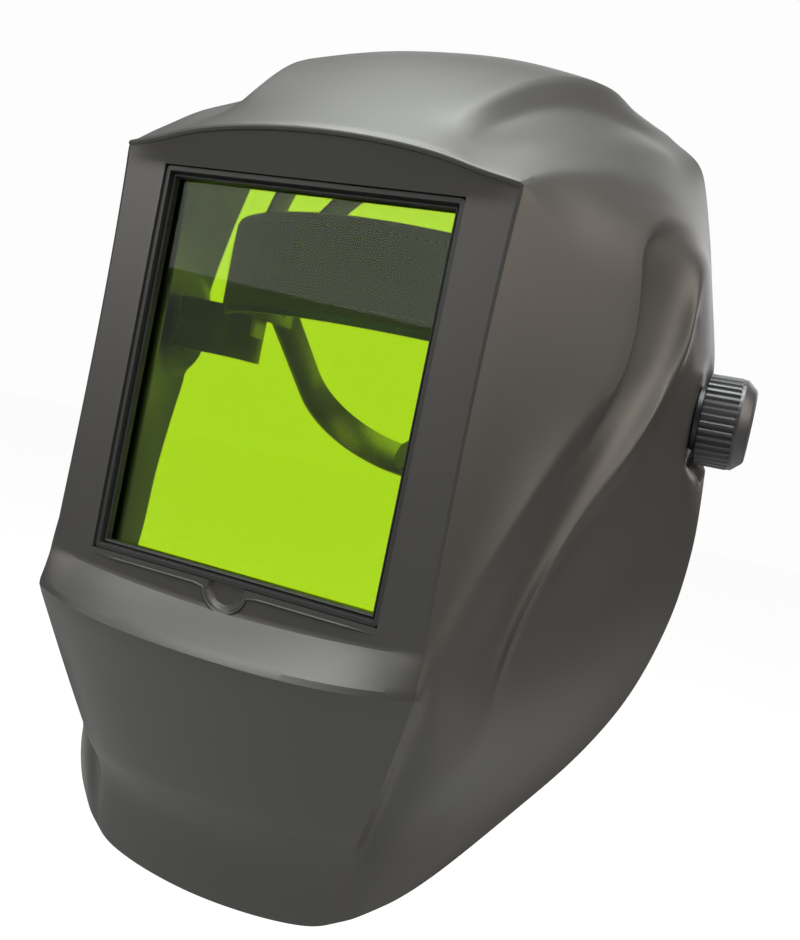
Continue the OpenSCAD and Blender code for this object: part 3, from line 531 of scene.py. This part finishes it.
def cloth(name, colour, weave, depth):  # knitted or woven cover: threads in two directions
    material, tree, shader = newMaterial(name)
    place = addNode(tree, "ShaderNodeTexCoord").outputs["Object"]
    waves = []
    for way in ("X", "Z"):
        bands = {"bands_direction": way, "Scale": bandScale / weave, "Distortion": 0.6}
        waves.append(addNode(tree, "ShaderNodeTexWave", bands, Vector=place).outputs[1])
    threads = addNode(tree, "ShaderNodeMath", {"operation": "MULTIPLY"}, n0=waves[0], n1=waves[1])
    fuzz = addNode(tree, "ShaderNodeTexNoise", {"Scale": 1000 / 4.0, "Detail": 4.0}, Vector=place)
    shade = addNode(tree, "ShaderNodeMapRange", {3: 0.75, 4: 1.25}, n0=fuzz.outputs[0])
    tree.links.new(tinted(tree, colour, shade.outputs[0]), shader.inputs["Base Color"])
    bumps = addNode(tree, "ShaderNodeBump", {"Strength": depth, "Distance": 0.0003},
                    Height=threads.outputs[0])
    tree.links.new(bumps.outputs[0], shader.inputs["Normal"])
    shader.inputs["Roughness"].default_value = 0.9
    shader.inputs["Sheen Weight"].default_value = 0.25
    return material


browCloth = cloth("brownSweatbandCloth", "#4a3024", 0.7, 0.18)
napeCloth = cloth("blackPadCloth", "#2a2a2b", 0.9, 0.3)
threadYarn = cloth("stitchYarn", "#5c4636", 0.5, 0.2)


def closedRing(profile, halfWide, halfHigh, middle, corner=0.0):
    # a moulding that runs round the window: profile points are (distance inside the edge, y)
    mesh = bmesh.new()
    turns = 4 if corner else 1
    loops = []
    for inside, y in profile:
        radius = max(corner - inside, 0.3)
        points = []
        for sideX, sideZ, start in ((1, -1, -90), (1, 1, 0), (-1, 1, 90), (-1, -1, 180)):
            cx, cz = sideX * (halfWide - inside - radius), sideZ * (halfHigh - inside - radius)
            for k in range(turns + 1):
                angle = math.radians(start + 90 * k / turns)
                x, z = cx + radius * math.cos(angle), middle + cz + radius * math.sin(angle)
                points.append(Vector((x, y, z)) * mm)
        loops.append([mesh.verts.new(p) for p in points])
    for a, b in zip(loops, loops[1:] + loops[:1]):
        for k in range(len(a)):
            m = (k + 1) % len(a)
            mesh.faces.new((a[k], a[m], b[m], b[k]))
    bmesh.ops.recalc_face_normals(mesh, faces=mesh.faces)
    return mesh


sealBuild = {
    "halfWide": 50, "halfHigh": 61.4, "middle": -21, "corner": 1.6, "bevel": 0.35,
    # under the shell's edge, up to the ledge, over it, down to the lip that touches the plate
    "profile": [(-4.0, -113.2), (-4.0, -114.9), (0.15, -114.9), (0.15, -117.2), (1.7, -117.2),
                (1.9, -115.4), (2.1, -115.4), (2.6, -115.9), (3.0, -115.7), (3.1, -113.2)],
}


def makeSeal(s):
    mesh = closedRing(s["profile"], s["halfWide"], s["halfHigh"], s["middle"], s["corner"])
    for face in mesh.faces:
        face.smooth = True
    seal = makePiece("windowSeal", mesh, finishes["sealRubber"], "shell", ["window_seal"])
    addModifier(seal, "BEVEL", width=s["bevel"] * mm, segments=3, limit_method="ANGLE",
                angle_limit=math.radians(40), harden_normals=True)


makeSeal(sealBuild)

knobBuild = {
    "ribs": 40, "perRib": 6, "groove": 0.75, "start": 113.7, "through": False,
    # (height from the foot, radius, depth of the grooves from 0 to 1):
    # bore, foot, ribs, chamfer and dished face
    "profile": [(16.5, 3.3, 0), (15.02, 3.3, 0), (15.02, 5.52, 0), (5.98, 5.52, 0), (5.98, 3.3, 0),
                (0, 3.3, 0), (0, 11.6, 0), (0.3, 12, 0), (2.1, 12, 0), (2.3, 12.4, 0), (2.3, 16.5, 0.8),
                (2.7, 17, 1), (13.6, 17, 1), (14.1, 16.8, 0.8), (14.4, 16.7, 0), (15.5, 16.7, 0),
                (15.9, 16.4, 0), (18.9, 13.7, 0), (19.3, 13.0, 0), (19.5, 12.2, 0), (19.4, 11.4, 0),
                (18.9, 10.6, 0), (18.8, 9.6, 0)],
}
rearKnobBuild = {
    "ribs": 30, "perRib": 6, "groove": 0.9, "start": 117.1, "through": True,
    "profile": [(10, 1.3, 0), (1.5, 1.3, 0), (1.5, 4.02, 0), (0, 4.02, 0), (0, 17.2, 0.8), (0.5, 18, 1),
                (10, 18, 1), (10.7, 17.6, 0.6), (11.0, 17.0, 0), (12.2, 16.2, 0), (12.8, 15.4, 0),
                (13, 14.4, 0), (12.8, 13.4, 0), (12.2, 12.6, 0), (12.0, 5.0, 0), (12.0, 4.2, 0),
                (11.7, 4.0, 0), (10, 4.0, 0)],
}


def ribbedKnob(s):  # stands on +Z from its foot
    mesh = bmesh.new()
    count = s["ribs"] * s["perRib"]
    rings = []
    for height, full, depth in s["profile"]:
        ring = []
        for k in range(count):
            wave = abs((k % s["perRib"]) / s["perRib"] - 0.5) * 2
            radius = full - s["groove"] * depth * (1 - smoothStep(0.1, 0.75, wave))
            angle = k / count * math.tau
            place = Vector((radius * math.cos(angle), radius * math.sin(angle), height)) * mm
            ring.append(mesh.verts.new(place))
        rings.append(ring)
    pairs = list(zip(rings, rings[1:]))
    if s["through"]:
        pairs.append((rings[-1], rings[0]))
    else:
        mesh.faces.new(rings[0])
        mesh.faces.new(rings[-1])
    for low, high in pairs:
        for k in range(count):
            m = (k + 1) % count
            mesh.faces.new((low[k], low[m], high[m], high[k]))
    bmesh.ops.recalc_face_normals(mesh, faces=mesh.faces)
    smoothShade(mesh, math.radians(32))
    return mesh


def makeTiltKnob(s, node, name, side):
    mesh = ribbedKnob(s)
    bmesh.ops.rotate(mesh, verts=mesh.verts, matrix=Matrix.Rotation(math.radians(90 * side), 3, "Y"))
    bmesh.ops.translate(mesh, verts=mesh.verts, vec=(side * s["start"] * mm, 0, 0))
    makePiece(name, mesh, finishes["knobNylon"], bodyOf[node], [node])


makeTiltKnob(knobBuild, "knob_left", "tiltKnobLeft", 1)
makeTiltKnob(knobBuild, "knob_right", "tiltKnobRight", -1)

napeLean = math.radians(-35)
napeHinge = Vector((0, 18, 20.5)) * mm


def atNape(mesh):  # from a level frame whose +Y runs back to the nape, into the helmet's
    bmesh.ops.rotate(mesh, verts=mesh.verts, matrix=Matrix.Rotation(napeLean, 3, "X"))
    bmesh.ops.translate(mesh, verts=mesh.verts, vec=napeHinge)


bossBuild = {  # posts on the shell's inner face that take the carrier's screws
    "ribs": 28, "perRib": 1, "groove": 0, "start": -116.2, "through": True,
    "places": [(30, 50.5), (30, -92.5)],  # one post on each side at each place
    "profile": [(4, 0.4, 0), (3.9, 1.52, 0), (8.5, 1.52, 0), (8.9, 1.9, 0), (8.9, 2.7, 0), (8.6, 3, 0),
                (2, 3, 0), (0.8, 3.4, 0), (0, 4.6, 0), (0, 0.4, 0)],
}


def makeCarrierBosses(s):
    posts = bmesh.new()
    for x, z in s["places"]:
        for side in (1, -1):
            post = ribbedKnob(s)
            bmesh.ops.rotate(post, verts=post.verts, matrix=Matrix.Rotation(math.radians(-90), 3, "X"))
            bmesh.ops.translate(post, verts=post.verts, vec=Vector((side * x, s["start"], z)) * mm)
            held = bpy.data.meshes.new("post")
            post.to_mesh(held)
            posts.from_mesh(held)
            post.free()
            bpy.data.meshes.remove(held)
    makePiece("carrierBosses", posts, shellNylon, "shell")


def makeRatchetKnob(s):
    mesh = ribbedKnob(s)
    bmesh.ops.rotate(mesh, verts=mesh.verts, matrix=Matrix.Rotation(math.radians(-90), 3, "X"))
    bmesh.ops.translate(mesh, verts=mesh.verts, vec=(0, s["start"] * mm, 0))
    atNape(mesh)
    makePiece("ratchetKnob", mesh, finishes["knobNylon"], "rear_knob", ["rear_knob"])


makeCarrierBosses(bossBuild)
makeRatchetKnob(rearKnobBuild)
print("seal and knobs made")

# Small rigid pieces keep the frame's shape and get softened edges.
softened = {  # finish and slot: node and bevel in mm
    ("innerNylon", "inner_frame"): {
        "plate_retainer": 0.4, "plate_carrier": 0.4, "latch_top": 0.35, "latch_bottom": 0.35},
    ("steel", "steel"): {
        "carrier_screws": 0.3, "latch_screws": 0.3, "pivot_bolt_left": 0.4, "pivot_bolt_right": 0.4,
        "cover_screws": 0.2, "pinion_screw": 0.25},
    ("harnessPlastic", "harness"): {
        "brow_band": 0.45, "arm_left": 0.5, "arm_right": 0.5, "arm_rivets": 0.35,
        "crown_strap_front_left": 0.35, "crown_strap_front_right": 0.35,
        "crown_strap_rear_left": 0.35, "crown_strap_rear_right": 0.35,
        "strap_rivets": 0.35, "crown_pegs": 0.4, "rear_band_left": 0.4, "rear_band_right": 0.4,
        "band_pegs": 0.4, "ratchet_housing": 0.6, "ratchet_cover": 0.6},
    ("fibreWasher", "friction"): {"friction_disc_left": 0.12, "friction_disc_right": 0.12},
    ("brass", "brass"): {"knob_nut_left": 0.3, "knob_nut_right": 0.3},
    ("acetal", "pinion"): {"pinion": 0.12},
}


def camelCase(name):
    first, *rest = name.split("_")
    return first + "".join(word.capitalize() for word in rest)


def soften(node, width, finish):
    mesh = bmesh.new()
    mesh.from_mesh(nodes[node].data)
    bmesh.ops.remove_doubles(mesh, verts=mesh.verts, dist=0.002 * mm)
    bmesh.ops.dissolve_limit(mesh, angle_limit=math.radians(1), verts=mesh.verts, edges=mesh.edges)
    for face in mesh.faces:
        face.smooth = True
    piece = makePiece(camelCase(node), mesh, finishes[finish], bodyOf[node], [node])
    addModifier(piece, "BEVEL", width=width * mm, segments=2, limit_method="ANGLE",
                angle_limit=math.radians(35), harden_normals=True)


for (finish, slot), group in softened.items():
    for node, width in group.items():
        soften(node, width, finish)
print("harness, screws and frames softened")


def puff(piece, s):  # swells a pad with a cloth simulation, as foam does under its cover
    addModifier(piece, "REMESH", mode="VOXEL", voxel_size=s["voxel"] * mm)
    settle(piece, evaluated(piece))
    home = [v.co.copy() for v in piece.data.vertices]
    cloth = addModifier(piece, "CLOTH")
    cloth.settings.use_pressure = True
    cloth.settings.uniform_pressure_force = s["pressure"]
    cloth.settings.effector_weights.gravity = 0
    for step in range(1, s["frames"] + 1):
        bpy.context.scene.frame_set(step)
    mesh = evaluated(piece)
    for vert, start in zip(mesh.verts, home):
        move = vert.co - start
        if move.length > s["cap"] * mm:
            vert.co = start + move.normalized() * s["cap"] * mm
    settle(piece, mesh)
    bpy.context.scene.frame_set(1)
    addModifier(piece, "SUBSURF", levels=1, render_levels=1)
    mesh = evaluated(piece)
    for face in mesh.faces:
        face.smooth = True
    return settle(piece, mesh)


bandCentre = (0, -3)  # middle of the brow band's half circle


def onBand(radius, degrees, height):  # a place round the brow; 0 degrees is straight ahead
    angle = math.radians(degrees)
    x, y = bandCentre[0] + radius * math.sin(angle), bandCentre[1] - radius * math.cos(angle)
    return Vector((x, y, height)) * mm


def bentBar(outline, reach, steps=40):  # an outline of (radius, height) swept round the brow, ends closed
    mesh = bmesh.new()
    rings = []
    for k in range(steps + 1):
        rings.append([mesh.verts.new(onBand(r, reach * (2 * k / steps - 1), h)) for r, h in outline])
    mesh.faces.new(rings[0])
    mesh.faces.new(rings[-1])
    for low, high in zip(rings, rings[1:]):
        for k in range(len(outline)):
            m = (k + 1) % len(outline)
            mesh.faces.new((low[k], low[m], high[m], high[k]))
    bmesh.ops.recalc_face_normals(mesh, faces=mesh.faces)
    return mesh


def stitches(points, normals, size=(0.45, 2.4, 0.28)):  # short threads laid along a seam
    mesh = bmesh.new()
    for k in range(1, len(points) - 1):
        fresh = bmesh.ops.create_icosphere(mesh, subdivisions=1, radius=0.5)["verts"]
        along = (points[k + 1] - points[k - 1]).normalized()
        out = normals[k].normalized()
        turn = Matrix((out.cross(along), along, out)).transposed().to_4x4()
        bmesh.ops.scale(mesh, verts=fresh, vec=Vector(size) * mm)
        bmesh.ops.transform(mesh, verts=fresh, matrix=Matrix.Translation(points[k]) @ turn)
    for face in mesh.faces:
        face.smooth = True
    return mesh


browBuild = {
    "reach": 51,  # degrees to each side
    # outlines of (radius, height)
    "cushion": [(73.9, 9), (74.2, 12), (74.2, 31), (73.9, 34.5), (71.4, 34.5), (71.0, 31), (71.0, 12),
                (71.4, 9)],
    # folded over the band's top: front skirt, top and the lip that the cushion is sewn to
    "cover": [(77.4, 6.4), (78.3, 6.4), (78.7, 7.2), (78.8, 30), (78.6, 37.5), (77.8, 39.4), (76.4, 39.9),
              (74.4, 39.7), (73.2, 38.6), (72.9, 36.0), (74.3, 36.0), (74.5, 37.4), (76.0, 37.7),
              (77.3, 37.5)],
    "coverBevel": 0.5,
    "voxel": 1.8, "pressure": 4.0, "frames": 20, "cap": 1.3,
    "seams": [(78.85, 9.5), (78.8, 35.5)],
    "stitch": 2.4,  # degrees from one stitch to the next
    "halfStitches": 21,  # stitches from the middle to each end of a seam
}


def makeBrowPad(s):
    browCushion = makePiece("browCushion", bentBar(s["cushion"], s["reach"]), browCloth)
    puff(browCushion, s)
    dress(browCushion, "harness", ["brow_pad"])
    folded = bentBar(s["cover"], s["reach"] + 1, 56)
    cover = makePiece("browCover", folded, browCloth, "harness")
    addModifier(cover, "BEVEL", width=s["coverBevel"] * mm, segments=2, limit_method="ANGLE",
                angle_limit=math.radians(50))
    for face in cover.data.polygons:
        face.use_smooth = True
    for index, (radius, height) in enumerate(s["seams"]):
        turns = [k * s["stitch"] for k in range(-s["halfStitches"], s["halfStitches"] + 1)]
        line = [onBand(radius, a, height) for a in turns]
        outs = [onBand(1, a, 0) - onBand(0, a, 0) for a in turns]
        makePiece(f"browSeam{index}", stitches(line, outs), threadYarn, "harness")


napeBuild = {
    "halfStraight": 28, "radius": 11.6, "back": 107.4, "thick": 4.4,
    "voxel": 1.8, "pressure": 4.0, "frames": 20, "cap": 1.4,
}


def stadium(halfStraight, radius, turns=14):  # points round a rounded bar, as (x, z)
    points = []
    for side, start in ((1, -90), (-1, 90)):
        for k in range(turns + 1):
            angle = math.radians(start + 180 * k / turns)
            points.append((side * halfStraight + radius * math.cos(angle), radius * math.sin(angle)))
    return points


def makeNapePad(s):
    mesh = bmesh.new()
    outline = stadium(s["halfStraight"], s["radius"])
    rings = [[mesh.verts.new(Vector((x, y, z)) * mm) for x, z in outline]
             for y in (s["back"], s["back"] - s["thick"])]
    mesh.faces.new(rings[0])
    mesh.faces.new(rings[1])
    for k in range(len(outline)):
        m = (k + 1) % len(outline)
        mesh.faces.new((rings[0][k], rings[0][m], rings[1][m], rings[1][k]))
    bmesh.ops.recalc_face_normals(mesh, faces=mesh.faces)
    atNape(mesh)
    napePad = makePiece("napePad", mesh, napeCloth)
    puff(napePad, s)
    dress(napePad, bodyOf["rear_pad"], ["rear_pad"])


makeBrowPad(browBuild)
makeNapePad(napeBuild)
print("pads made")

plates = {"cover_plate": clearPlate, "inner_plate": clearPlate, "filter_plate": limeFilter}
for node, glass in plates.items():
    nodes[node].data.materials.clear()
    nodes[node].data.materials.append(glass)

print("done")
